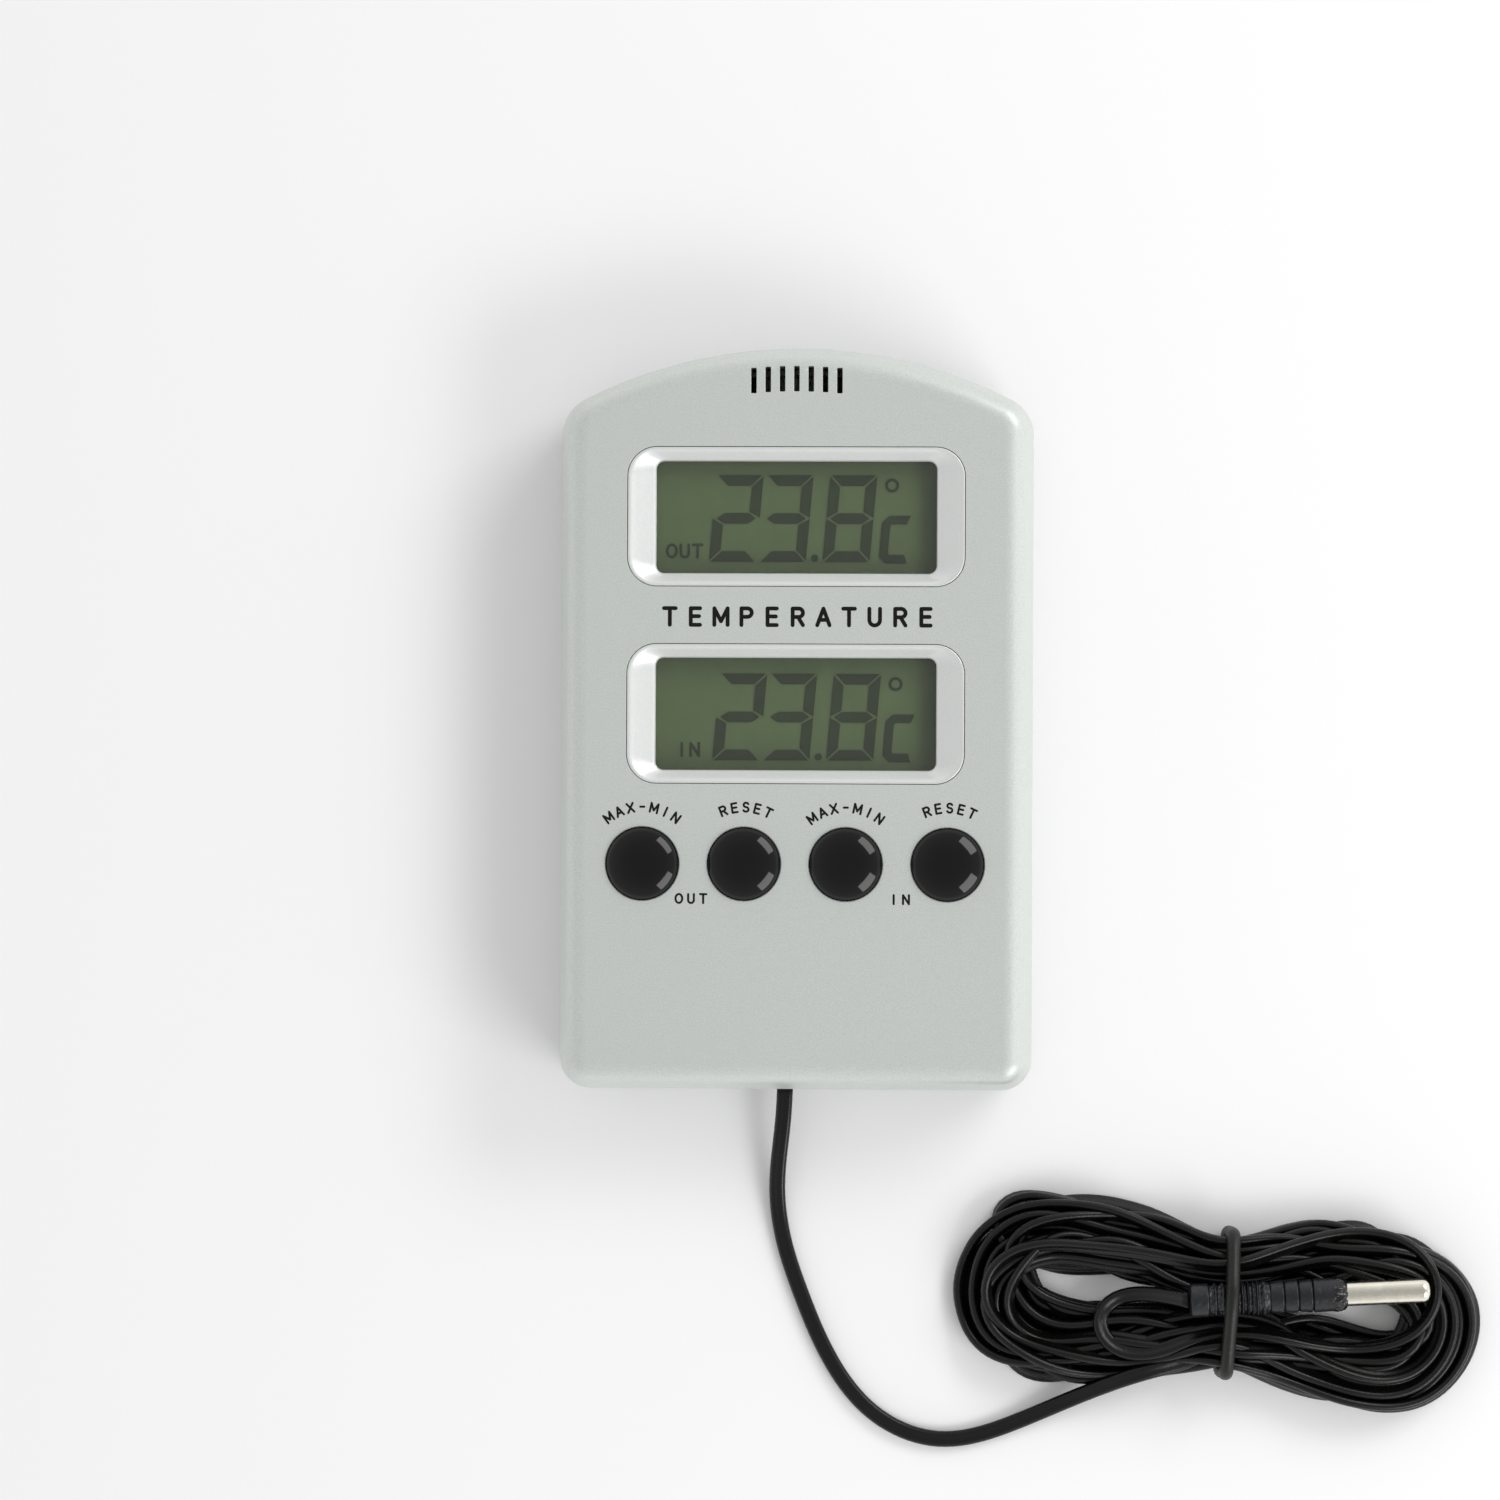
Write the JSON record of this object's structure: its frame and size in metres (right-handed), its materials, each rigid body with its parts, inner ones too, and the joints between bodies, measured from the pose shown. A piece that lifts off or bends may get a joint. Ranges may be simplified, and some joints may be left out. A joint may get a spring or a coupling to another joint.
{
  "type": "maximum minimum thermometer",
  "caption": "Flat arched case with two framed displays, a row of domed buttons, a fold-out stand, and a flat lead wound in a tied hank with a metal-tipped sensor.",
  "frame": {"origin": "middle of the case's back face, on the surface that the object lies on", "axes": "+Z out of the display face, +Y towards the arched top, +X to the right as the displays are read"},
  "size_m": [0.1366, 0.1642, 0.02],
  "materials": {
    "case_silver": "satin metallic paint on moulded ABS",
    "bezel_silver": "smooth silver paint, semi-gloss",
    "back_plastic": "silver-grey moulded ABS with a fine texture",
    "window_clear": "clear polished acrylic",
    "lcd_glass": "reflective green-grey liquid crystal glass",
    "holder_white": "natural white ABS",
    "elastomer": "layered conductive silicone",
    "board_green": "solder resist over glass fibre",
    "epoxy_black": "cast black epoxy",
    "component": "small electronic parts",
    "steel": "zinc-plated steel",
    "button_black": "polished black plastic",
    "switch_dark": "moulded nylon",
    "sensor_bead": "black lacquered thermistor bead",
    "battery_skin": "printed battery sleeve",
    "contact_metal": "nickel-plated spring steel",
    "wire_pvc": "PVC wire insulation",
    "lead_black": "flexible black PVC, satin",
    "tie_black": "black PVC tie",
    "sleeve_black": "moulded soft black PVC",
    "glue_black": "black adhesive",
    "tip_metal": "nickel-plated brass, polished"
  },
  "bodies": {
    "root": {"front_case": "case_silver", "back_case": "back_plastic", "upper_bezel": "bezel_silver", "lower_bezel": "bezel_silver", "upper_window": "window_clear", "lower_window": "window_clear", "upper_lcd": "lcd_glass", "lower_lcd": "lcd_glass", "upper_lcd_holder": "holder_white", "lower_lcd_holder": "holder_white", "upper_lcd_strip": "elastomer", "lower_lcd_strip": "elastomer", "circuit_board": "board_green", "chip_blobs": "epoxy_black", "board_parts": "component", "board_screws": "steel", "switch_out_maxmin": "switch_dark", "switch_out_reset": "switch_dark", "switch_in_maxmin": "switch_dark", "switch_in_reset": "switch_dark", "indoor_sensor": "sensor_bead", "battery": "battery_skin", "negative_spring": "contact_metal", "positive_contact": "contact_metal", "battery_wires": "wire_pvc", "case_screws": "steel", "lead_inside": "lead_black", "cord_clamp": "switch_dark", "clamp_screws": "steel", "sensor_wires": "wire_pvc", "cord_lead": "lead_black", "cord_hank": "lead_black", "hank_tie": "tie_black", "sensor_sleeve": "sleeve_black", "sensor_collar": "glue_black", "sensor_tip": "tip_metal"},
    "button_out_maxmin": {"button_out_maxmin": "button_black", "plunger_out_maxmin": "switch_dark"},
    "button_out_reset": {"button_out_reset": "button_black", "plunger_out_reset": "switch_dark"},
    "button_in_maxmin": {"button_in_maxmin": "button_black", "plunger_in_maxmin": "switch_dark"},
    "button_in_reset": {"button_in_reset": "button_black", "plunger_in_reset": "switch_dark"},
    "stand": {"table_stand": "back_plastic", "stand_pin": "steel"},
    "door": {"battery_door": "back_plastic"}
  },
  "joints": [
    {"name": "press_out_maxmin", "type": "slide", "parent": "root", "child": "button_out_maxmin", "axis": [0, 0, -1], "range_m": [0, 0.0008], "stiffness_N_per_m": 1500},
    {"name": "press_out_reset", "type": "slide", "parent": "root", "child": "button_out_reset", "axis": [0, 0, -1], "range_m": [0, 0.0008], "stiffness_N_per_m": 1500},
    {"name": "press_in_maxmin", "type": "slide", "parent": "root", "child": "button_in_maxmin", "axis": [0, 0, -1], "range_m": [0, 0.0008], "stiffness_N_per_m": 1500},
    {"name": "press_in_reset", "type": "slide", "parent": "root", "child": "button_in_reset", "axis": [0, 0, -1], "range_m": [0, 0.0008], "stiffness_N_per_m": 1500},
    {"name": "stand_hinge", "type": "hinge", "parent": "root", "child": "stand", "pos_m": [0, -0.027, 0.0016], "axis": [-1, 0, 0], "range_deg": [0, 115]},
    {"name": "door_slide", "type": "slide", "parent": "root", "child": "door", "axis": [0, -1, 0], "range_m": [0, 0.006]}
  ]
}
